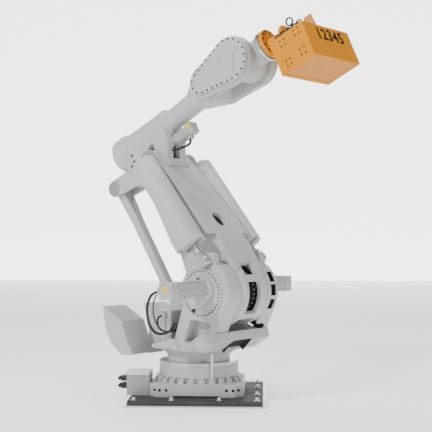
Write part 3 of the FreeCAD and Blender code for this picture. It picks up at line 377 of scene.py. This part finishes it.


# Dark boxes in the square pockets of the feet paint the shade inside them.
half_width, corner_start, corner_cut, pocket_rise = 0.445, 0.4875, 0.095, 0.071
shade_box_places = []
for x in (-0.430, -0.376, -0.308, 0.308, 0.376, 0.430):
    inset = max(0.0, abs(x) + 0.013 - (corner_start - corner_cut))
    for side in (-1, 1):
        shade_box_places.append(((x, side * (half_width - inset), plate_top + pocket_rise), (0, side, 0)))
spread_copies(shade_box(0.026, 0.026, 0.034), shade_box_places, "foot_pocket_shade", "base", painted_shade)

# ---- slewing ring --------------------------------------------------------------------
# A turned steel ring between drum and turret, with its grease lip and a ring of screws.
dress(bright_steel, "slew_ring", "travel_stop_post")
ring_top, screw_circle, ring_screw_count = 0.384, 0.417, 36
spread_copies(cap_screw(0.009, 0.007), ring_places((0, 0, ring_top), (0, 0, 1), screw_circle,
                                                   ring_screw_count),
              "slew_ring_screws", "base", zinc)

# ---- cable box -----------------------------------------------------------------------
# A folded sheet-metal box with a bright lid and two rows of plug sockets at its rear.
box_grey = finish("box_grey", (0.36, 0.36, 0.365), (0.22, 0.22, 0.22), 0.48, metallic=0.25, cloud=3)
lid_grey = finish("lid_grey", (0.74, 0.74, 0.73), (0.50, 0.50, 0.50), 0.40, metallic=0.1, cloud=3)
black_plastic = finish("black_plastic", (0.028, 0.028, 0.030), (0.05, 0.05, 0.05), 0.60, cloud=8,
                       grain=300, gloss=0.2)
dress(box_grey, "connection_box")
dress(lid_grey, "connection_box_lid")
dress(black_plastic, "cable_connectors")
low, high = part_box("connection_box_lid")
spread_copies(cap_screw(0.007, 0.004), [((x, y, high.z - 0.0005), (0, 0, 1)) for x in (low.x + 0.02,
                                                                                       high.x - 0.02)
                                        for y in (low.y + 0.02, (low.y + high.y) / 2, high.y - 0.02)],
              "lid_screws", "base", zinc)

# ---- turret --------------------------------------------------------------------------
# One big painted casting on the slewing ring: two cheeks that carry the shoulder, with a
# triangular relief in each flank, slots in the rim, and ears for the balancers.
rounded("turret_casting", "turret", 0.012, white_paint, segments=3)
heading = Matrix.Rotation(math.radians(-37), 4, 'Z')


def frame_at(pitch, x, z):
    """Matrix of a frame nosed up by pitch, with its origin at (x, z) of the arm's middle plane."""
    return heading @ Matrix.Translation((x, 0, z)) @ Matrix.Rotation(math.radians(-pitch), 4, 'Y')


def placed(matrix, places):
    """Moves (point, way up) pairs from a local frame to the row frame."""
    turn = matrix.to_3x3()
    return [(matrix @ Vector(point), turn @ Vector(up)) for point, up in places]


def settle(piece, matrix, name, body, material):
    """Puts a finished piece where a local frame says and gives it its name, body and finish."""
    piece.data.transform(matrix)
    piece.name = name
    piece.data.materials.clear()
    piece.data.materials.append(material)
    start_clean()
    piece.select_set(True)
    bpy.context.view_layer.objects.active = piece
    bpy.ops.object.shade_smooth_by_angle(angle=math.radians(35))
    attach(piece, body)
    return piece


def shade_sheet(outline, near, far):
    """A thin plate of one side outline, as (x, z) points, from one distance across the arm to another; it
    paints shade into a hole or recess.
    """
    start_clean()
    bpy.ops.mesh.primitive_circle_add(vertices=len(outline), fill_type='NGON')
    plate = bpy.context.object
    for vertex, (x, z) in zip(plate.data.vertices, outline):
        vertex.co = (x, near, z)
    bpy.ops.object.mode_set(mode='EDIT')
    bpy.ops.mesh.select_all(action='SELECT')
    bpy.ops.mesh.extrude_region_move(TRANSFORM_OT_translate={"value": (0, far - near, 0)})
    bpy.ops.mesh.select_all(action='SELECT')
    bpy.ops.mesh.normals_make_consistent(inside=False)
    bpy.ops.object.mode_set(mode='OBJECT')
    return plate


def joined(plates):
    """Several small meshes made one."""
    start_clean()
    for plate in plates:
        plate.select_set(True)
    bpy.context.view_layer.objects.active = plates[0]
    bpy.ops.object.join()
    return plates[0]


shoulder = (0.425, 1.135)
slot_radius, slot_y = 0.311, 0.3275
# Dark boxes sunk in the three rim slots paint the shade inside them.
slots = []
for angle in (28, 2, -26):
    way = (math.cos(math.radians(angle)), 0, math.sin(math.radians(angle)))
    slots.append(((shoulder[0] + slot_radius * way[0], slot_y, shoulder[1] + slot_radius * way[2]), way))
spread_copies(shade_box(0.084, 0.114, 0.064), placed(heading, slots), "rim_slot_shade", "turret",
              painted_shade)
dress(white_paint, "gear_covers", "motor_housings")
# Dark plates stand in for the unlit depths of the skirt window and the cheek relief.
window = [(0.586, 0.668), (0.431, 0.561), (0.434, 0.557), (0.589, 0.664)]
window_end = [(0.474, 0.514), (0.588, 0.634), (0.588, 0.668), (0.434, 0.561)]
settle(joined([shade_sheet(window, -0.168, 0.148), shade_sheet(window_end, -0.169, -0.165),
               shade_sheet(window_end, 0.145, 0.149)]),
       heading, "skirt_window_shade", "turret", painted_shade)
cheek_relief = [(0.389, 0.864), (0.556, 0.864), (0.606, 0.765), (0.560, 0.710), (0.404, 0.793)]
settle(shade_sheet(cheek_relief, 0.340, 0.344), heading, "cheek_relief_shade", "turret", painted_shade)
dress(bright_steel, "shoulder_shaft", "balancer_pins", "hub_bearings")
cover_face, housing_face = 0.456, 0.518
rim, motor_x, motor_z = [], 0.467, 1.181
for side in (-1, 1):
    rim += ring_places((shoulder[0], side * cover_face, shoulder[1]), (0, side, 0), 0.226, 40)
spread_copies(cap_screw(0.0075, 0.006), placed(heading, rim), "gear_cover_screws", "turret", black_plastic)


def round_plug(radius, height):
    """A plug with a raised rim and a dished middle, standing on z = 0."""
    start_clean()
    bpy.ops.mesh.primitive_cylinder_add(vertices=24, radius=radius, depth=height,
                                        location=(0, 0, height / 2))
    plug = bpy.context.object
    bpy.ops.object.transform_apply(location=True)
    bpy.ops.object.mode_set(mode='EDIT')
    bpy.ops.mesh.select_mode(type='FACE')
    bpy.ops.mesh.select_all(action='DESELECT')
    bpy.ops.object.mode_set(mode='OBJECT')
    for face in plug.data.polygons:
        face.select = face.normal.z > 0.9
    bpy.ops.object.mode_set(mode='EDIT')
    bpy.ops.mesh.inset(thickness=radius * 0.25)
    bpy.ops.transform.translate(value=(0, 0, -height * 0.35))
    bpy.ops.object.mode_set(mode='OBJECT')
    return plug


plugs = [((0.437, -housing_face, 1.272), (0, -1, 0)), ((0.325, -cover_face, 0.955), (0, -1, 0)),
         ((0.437, housing_face, 1.272), (0, 1, 0)), ((0.325, cover_face, 0.955), (0, 1, 0))]
spread_copies(round_plug(0.021, 0.010), placed(heading, plugs), "gear_plugs", "turret", black_plastic)
housing = []
for side in (-1, 1):
    for x, z, radius, angles in ((motor_x, motor_z, 0.106, (60, 0, -30, 120)),
                                 (0.385, 1.073, 0.080, (200, 250, 290))):
        for angle in angles:
            spot = (x + radius * math.cos(math.radians(angle)), side * (housing_face - 0.008),
                    z + radius * math.sin(math.radians(angle)))
            housing.append((spot, (0, side, 0)))
spread_copies(cap_screw(0.008, 0.012), placed(heading, housing), "housing_screws", "turret", zinc)

# ---- motors --------------------------------------------------------------------------
# Square servo motors in grey-white paint, ribbed along their corners, with a blank yellow tag
# on the brake end. Their black cables loop back into the casting.
motor_paint = finish("motor_paint", (0.44, 0.44, 0.43), (0.26, 0.26, 0.25), 0.40, metallic=0.15, cloud=4)
tag_yellow = finish("tag_yellow", (0.74, 0.47, 0.01), (0.60, 0.46, 0.12), 0.5, cloud=20)
black_rubber = finish("black_rubber", (0.020, 0.020, 0.021), (0.04, 0.04, 0.04), 0.60, cloud=12,
                      grain=400, gloss=0.2)
rounded("shoulder_motors", "turret", 0.004, motor_paint)
rounded("slew_motor", "turret", 0.004, motor_paint)
rounded("roll_motor", "upper_arm", 0.003, motor_paint)


def cable(name, route, radius, matrix, body, node):
    """A stiff motor cable through its route points, in millimetres of a local frame."""
    start_clean()
    line = bpy.data.curves.new(name, 'CURVE')
    line.dimensions = '3D'
    line.resolution_u = 12
    line.bevel_depth = radius
    line.bevel_resolution = 4
    line.use_fill_caps = True
    spline = line.splines.new('NURBS')
    spline.points.add(len(route) - 1)
    for point, spot in zip(spline.points, route):
        point.co = (*(matrix @ (Vector(spot) * 0.001)), 1)
    spline.order_u = 3
    spline.use_endpoint_u = True
    piece = bpy.data.objects.new(name, line)
    bpy.context.scene.collection.objects.link(piece)
    line.materials.append(black_rubber)
    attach(piece, body)
    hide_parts(node)


cable("motor_power_cable", [(335, -971, 1170), (215, -971, 1170), (130, -959, 955), (185, -896, 730),
                            (-17.8, -415, 715.5), (17.8, -415, 823.5), (89, -415, 800)],
      0.013, heading, "turret", "motor_cables")
cable("motor_signal_cable", [(335, -947, 1156), (250, -947, 1156), (185, -926, 955), (215, -841, 770),
                             (-0.9, -380, 718.8), (22.1, -380, 788.8), (79.1, -380, 770)],
      0.007, heading, "turret", "motor_cables")
cable("slew_motor_cable", [(-140, -438, 875), (-140, -505, 875), (-120, -505, 725), (-4.2, -345, 708.8),
                           (17.2, -345, 773.8), (74.2, -345, 755)],
      0.010, heading, "turret", "motor_cables")


def cooling_rail(length, half):
    """One square motor body's four corner rails and side ribs, along x from 0 to length."""
    start_clean()
    bars = []
    spots = [(s * half * 0.80, t * half) for s in (-1, 1) for t in (-1, 1)]
    spots += [(t * half, s * half * 0.80) for s in (-1, 1) for t in (-1, 1)]
    spots += [(s * half, 0) for s in (-1, 1)] + [(0, s * half) for s in (-1, 1)]
    for y, z in spots:
        bpy.ops.mesh.primitive_cube_add(size=1, scale=(length, 0.012, 0.012), location=(length / 2, y, z))
        bar = bpy.context.object
        bpy.ops.object.transform_apply(location=True, scale=True)
        bpy.ops.object.mode_set(mode='EDIT')
        bpy.ops.mesh.select_all(action='SELECT')
        bpy.ops.mesh.bevel(offset=0.002, segments=1)
        bpy.ops.object.mode_set(mode='OBJECT')
        bars.append(bar)
    for bar in bars:
        bar.select_set(True)
    bpy.context.view_layer.objects.active = bars[0]
    bpy.ops.object.join()
    return bars[0]


to_near = Matrix.Rotation(math.radians(-90), 4, 'Z')
to_far = Matrix.Rotation(math.radians(90), 4, 'Z')
rail_start, motor_half = 0.544, 0.074
settle(cooling_rail(0.384, motor_half), heading @ Matrix.Translation((motor_x, -rail_start,
                                                                      motor_z)) @ to_near,
       "near_motor_rails", "turret", motor_paint)
settle(cooling_rail(0.264, motor_half), heading @ Matrix.Translation((motor_x, rail_start,
                                                                      motor_z)) @ to_far,
       "far_motor_rails", "turret", motor_paint)
to_up = Matrix.Rotation(math.radians(-90), 4, 'Y')
settle(cooling_rail(0.225, 0.080), heading @ Matrix.Translation((-0.140, -0.300, 0.605)) @ to_up,
       "slew_motor_rails", "turret", motor_paint)


def tag_plate(width, height):
    """A blank tag with a folded rim, standing on z = 0."""
    start_clean()
    bpy.ops.mesh.primitive_cube_add(size=1, scale=(width, height, 0.003), location=(0, 0, 0.0015))
    tag = bpy.context.object
    bpy.ops.object.transform_apply(location=True, scale=True)
    bpy.ops.object.mode_set(mode='EDIT')
    bpy.ops.mesh.select_mode(type='FACE')
    bpy.ops.mesh.select_all(action='DESELECT')
    bpy.ops.object.mode_set(mode='OBJECT')
    for face in tag.data.polygons:
        face.select = face.normal.z > 0.9
    bpy.ops.object.mode_set(mode='EDIT')
    bpy.ops.mesh.inset(thickness=0.004)
    bpy.ops.transform.translate(value=(0, 0, -0.0012))
    bpy.ops.object.mode_set(mode='OBJECT')
    return tag


tags = [((motor_x - 0.082, -0.985, motor_z + 0.030), (-1, 0, 0)),
        ((motor_x, -1.038, motor_z + 0.018), (0, -1, 0)),
        ((motor_x, 0.918, motor_z + 0.018), (0, 1, 0))]
spread_copies(tag_plate(0.070, 0.060), placed(heading, tags), "motor_tags", "turret", tag_yellow)

# ---- lower arm -----------------------------------------------------------------------
# A long painted channel open to the rear, with a round hub at the shoulder and two ears at
# the elbow. Dark gear rings with a circle of screws show through the window of the hub.
gear_dark = finish("gear_dark", (0.040, 0.040, 0.043), (0.09, 0.09, 0.09), 0.50, metallic=0.4, cloud=5,
                   gloss=0.2)
lower = frame_at(33, *shoulder)
rounded("lower_arm_casting", "lower_arm", 0.010, white_paint, segments=3)
dress(gear_dark, "hub_gear_rings")
dress(bright_steel, "balancer_top_pins")
# A dark plate behind the front hole paints the shade inside the channel.
behind_hole = [(0.252, 0.600), (0.238, 0.700), (0.217, 0.806), (0.211, 0.806), (0.232, 0.700),
               (0.246, 0.600)]
settle(shade_sheet(behind_hole, -0.095, 0.095), lower, "front_hole_shade", "lower_arm", painted_shade)
inner_face = 0.104
screws = []
for side in (-1, 1):
    for circle, count in ((0.235, 30), (0.140, 18)):
        screws += ring_places((0, side * inner_face, 0), (0, -side, 0), circle, count)
spread_copies(cap_screw(0.010, 0.006), placed(lower, screws), "gear_ring_screws", "lower_arm", zinc)

# ---- balancers -----------------------------------------------------------------------
# Painted gas cylinders, one each side, each with a bright piston rod. A painted wiper closes the
# slot in its end plate.
lean, eye = 39.7, (0.465, 1.459)
balancer = frame_at(lean, *eye)
chrome = finish("piston_chrome", (0.78, 0.78, 0.78), (0.55, 0.55, 0.56), 0.16, metallic=1.0, cloud=3,
                speck=0.1)
dress(chrome, "near_balancer_piston", "far_balancer_piston")
balancer_start, balancer_y = 0.208, 0.457
wiper_radius, wiper_depth, wiper_lift = 0.1125, 0.004, 0.029
for side, place in ((-1, "near"), (1, "far")):
    rounded(place + "_balancer_tube", place + "_balancer", 0.006, white_paint, segments=3)
    start_clean()
    bpy.ops.mesh.primitive_cylinder_add(vertices=48, radius=wiper_radius, depth=wiper_depth)
    wiper = bpy.context.object
    bpy.ops.object.mode_set(mode='EDIT')
    bpy.ops.mesh.select_all(action='SELECT')
    bpy.ops.mesh.bevel(offset=0.001, segments=1)
    bpy.ops.object.mode_set(mode='OBJECT')
    settle(wiper, balancer @ Matrix.Translation((0, side * balancer_y, balancer_start + wiper_lift)),
           place + "_balancer_wiper", place + "_balancer", white_paint)

# ---- elbow ---------------------------------------------------------------------------
# The elbow casting carries the rear tube and the lever of the linkage. Round caps with a circle
# of screws close the elbow shaft, and turned seams mark the bearing flanges on the tube.
upper_pitch, elbow = 28, (-0.44095, 2.46848)
upper = frame_at(upper_pitch, *elbow)
rounded("elbow_casting", "upper_arm", 0.009, white_paint, segments=3)
rounded("rear_cap", "upper_arm", 0.004, white_paint)
dress(bright_steel, "elbow_shaft", "rod_top_pin", "rod_bottom_pin")
# Dark plates in the triangular reliefs on both flanks paint the shade seen through them.
relief = [(-0.160, 0.206), (0.018, 0.252), (0.013, 0.183), (-0.056, 0.175)]
settle(joined([shade_sheet(relief, 0.0803, 0.0813), shade_sheet(relief, -0.0803, -0.0813)]), upper,
       "elbow_relief_shade",
       "upper_arm", painted_shade)


# A dark plate at the floor of the post slot paints the shade inside it.
slot_floor = [(0.0913, 0.0428), (0.1611, 0.1688), (0.1576, 0.1707), (0.0878, 0.0447)]
settle(shade_sheet(slot_floor, -0.048, 0.048), upper, "post_slot_shade", "upper_arm", painted_shade)
flank_half, flank_spots = 0.150, ((-0.300, 0.296), (-0.298, 0.218), (-0.357, 0.190))
flank = [((x, side * flank_half, z), (0, side, 0)) for side in (-1, 1) for x, z in flank_spots]
spread_copies(round_plug(0.013, 0.008), placed(upper, flank), "elbow_flank_plugs", "upper_arm",
              black_plastic)
cap_ring = ring_places((-0.563, 0, 0.400), (-1, 0, 0), 0.142, 12)
cap_ring += ring_places((-0.545, 0, 0.400), (-1, 0, 0), 0.168, 24)
spread_copies(cap_screw(0.008, 0.008), placed(upper, cap_ring), "rear_cap_screws", "upper_arm",
              gear_dark)
spread_copies(tag_plate(0.060, 0.055), placed(upper, [((0.4865, -0.060, 0.196), (0, -1, 0))]),
              "roll_motor_tag",
              "upper_arm", tag_yellow)

cable("roll_power_cable", [(418, -15, 86), (418, -15, 34), (261.9, -72, 41.2), (183.2, -72, 84.8)],
      0.011, upper, "upper_arm", "roll_motor_cables")
cable("roll_signal_cable", [(396, 15, 86), (396, 15, 64), (281.7, 72, 76.9), (203, 72, 120.5)],
      0.011, upper, "upper_arm", "roll_motor_cables")

# ---- linkage -------------------------------------------------------------------------
# A rod runs down behind the arm from the lever to the crank, pinned at both ends.
rounded("parallel_rod", "rod", 0.006, white_paint, segments=2)
rounded("crank_arm", "crank", 0.010, white_paint, segments=3)
rounded("counterweight", "crank", 0.070, white_paint, segments=6)

# ---- forearm and wrist ---------------------------------------------------------------
# The forearm rolls on the rear tube and ends in a fork. Pear-shaped covers close its gears,
# with a screw every few centimetres round the rim and a plain cap over the wrist axis.
rounded("forearm_casting", "forearm", 0.010, white_paint, segments=3)
rounded("wrist_covers", "forearm", 0.003, white_paint)
rounded("wrist_hub", "wrist", 0.006, white_paint, segments=3)
dress(bright_steel, "tool_flange")
wrist_x, tube_z, cover_outer = 1.411, 0.400, 0.274


def belt_places(a, b, face, side, spacing):
    """Places along the belt line of two circles (x, z, radius), facing sideways."""
    heading_angle = math.atan2(b[1] - a[1], b[0] - a[0])
    spread = math.acos((a[2] - b[2]) / math.hypot(b[0] - a[0], b[1] - a[1]))
    line = []
    for circle, low_angle, high_angle in ((b, heading_angle - spread, heading_angle + spread),
                                          (a, heading_angle + spread,
                                           heading_angle - spread + 2 * math.pi)):
        count = max(2, round(circle[2] * (high_angle - low_angle) / spacing))
        for index in range(count + 1):
            angle = low_angle + (high_angle - low_angle) * index / count
            line.append((circle[0] + circle[2] * math.cos(angle), circle[1] + circle[2] * math.sin(angle)))
    middle = []
    for turn in (1, -1):
        angle = heading_angle + turn * spread
        start = (a[0] + a[2] * math.cos(angle), a[1] + a[2] * math.sin(angle))
        end = (b[0] + b[2] * math.cos(angle), b[1] + b[2] * math.sin(angle))
        count = round(math.dist(start, end) / spacing)
        middle += [(start[0] + (end[0] - start[0]) * i / count, start[1] + (end[1] - start[1]) * i / count)
                   for i in range(1, count)]
    return [((x, face, z), (0, side, 0)) for x, z in line + middle]


rim = []
for side in (-1, 1):
    rim += belt_places((0.991, 0.396, 0.110), (wrist_x, tube_z, 0.206), side * cover_outer, side, 0.072)
spread_copies(cap_screw(0.010, 0.007), placed(upper, rim), "wrist_cover_screws", "forearm", gear_dark)
dimples, dimple_circle = [], 0.132
for side in (-1, 1):
    for angle in (20, 150, 265):
        dimples.append(((wrist_x + dimple_circle * math.cos(math.radians(angle)), side * cover_outer,
                         tube_z + dimple_circle * math.sin(math.radians(angle))), (0, side, 0)))
spread_copies(round_plug(0.024, 0.006), placed(upper, dimples), "wrist_cover_dimples", "forearm",
              motor_paint)

tool = frame_at(25, 0.6172, 3.4840)
ring = ring_places((0.2895, 0, 0), (-1, 0, 0), 0.146, 24)
spread_copies(cap_screw(0.010, 0.010), placed(tool, ring), "flange_screws", "tool", gear_dark)

# ---- test weight ---------------------------------------------------------------------
# Upright steel plates bolted between painted side plates. Black bolt heads in fours hold the
# sides, the sawn plate ends show below, and a chain lies along the top by the lifting lug.
orange = finish("orange_paint", (0.66, 0.245, 0.0), (0.46, 0.13, 0.0), 0.60, cloud=3, speck=0.25,
                gloss=0.12)
plate_ends = finish("plate_ends", (0.62, 0.24, 0.02), (0.28, 0.09, 0.0), 0.65, cloud=14, speck=0.5)
lug_paint = finish("lug_paint", (0.62, 0.22, 0.0), (0.60, 0.40, 0.10), 0.42, cloud=8)
dress(orange, "weight_adaptor", "weight_back_plate", "side_weight_plates", "front_weight_plate",
      "top_weight_plate")
dress(plate_ends, "weight_stacks")
dress(lug_paint, "lifting_lug")
reach, top, half, height, length = 0.620, -0.196, 0.395, 0.358, 0.370
groups = []
for side in (-1, 1):
    for gx, gz in ((0.095, -0.075), (0.275, -0.060), (0.085, -0.280), (0.265, -0.265)):
        for dx in (-0.026, 0.026):
            for dz in (-0.026, 0.026):
                groups.append(((reach + gx + dx, side * half, top + gz + dz), (0, side, 0)))
spread_copies(cap_screw(0.0085, 0.004), placed(tool, groups), "weight_screws", "tool", black_plastic)
adaptor = ring_places((0.3785, 0, 0), (1, 0, 0), 0.130, 12)
spread_copies(cap_screw(0.011, 0.010), placed(tool, adaptor), "adaptor_screws", "tool", gear_dark)

start_clean()
bpy.ops.object.text_add()
digits = bpy.context.object
digits.data.body = "12345"
digits.data.align_x = 'CENTER'
digits.data.align_y = 'CENTER'
digits.data.size = 0.170
digits.data.extrude = 0.0008
digits.data.offset = 0.0042
digits.data.space_character = 1.12
bpy.ops.object.convert(target='MESH')
face_turn = Matrix(((0, 0, 1, 0), (1, 0, 0, 0), (0, 1, 0, 0), (0, 0, 0, 1)))
black_paint = finish("stencil_black", (0.012, 0.012, 0.012), (0.03, 0.03, 0.03), 0.85, cloud=10, gloss=0.1)
settle(digits, tool @ Matrix.Translation((reach + length + 0.0008, 0.020, top - 0.105)) @ face_turn,
       "stencil_digits", "tool",
       black_paint)


def chain_link(length_way, radius, wire):
    """One oval link, lying along x."""
    start_clean()
    bpy.ops.mesh.primitive_torus_add(major_radius=radius, minor_radius=wire, major_segments=20,
                                     minor_segments=8)
    link = bpy.context.object
    for vertex in link.data.vertices:
        vertex.co.x += math.copysign(length_way / 2, vertex.co.x) if abs(vertex.co.x) > 0.0005 else 0
    return link


start_clean()
links, link_pitch, chain_y = [], 0.034, -0.345
for index in range(9):
    link = chain_link(0.020, 0.018, 0.0085)
    turn = Matrix.Rotation(math.radians(42 if index % 2 else -48), 4, 'X')
    spot = Matrix.Translation((reach + 0.045 + link_pitch * index,
                               chain_y + 0.006 * math.sin(2.1 * index), top + 0.024))
    link.data.transform(spot @ turn)
    links.append(link)
bpy.ops.mesh.primitive_torus_add(major_radius=0.037, minor_radius=0.009, major_segments=28,
                                 minor_segments=10)
ring = bpy.context.object
ring.data.transform(Matrix.Translation((reach + 0.220, chain_y,
                                        top + 0.092)) @ Matrix.Rotation(math.radians(90), 4, 'X'))
start_clean()
for link in links + [ring]:
    link.select_set(True)
bpy.context.view_layer.objects.active = ring
bpy.ops.object.join()
chain = settle(ring, tool, "lifting_chain_links", "tool", gear_dark)
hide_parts("lifting_chain")
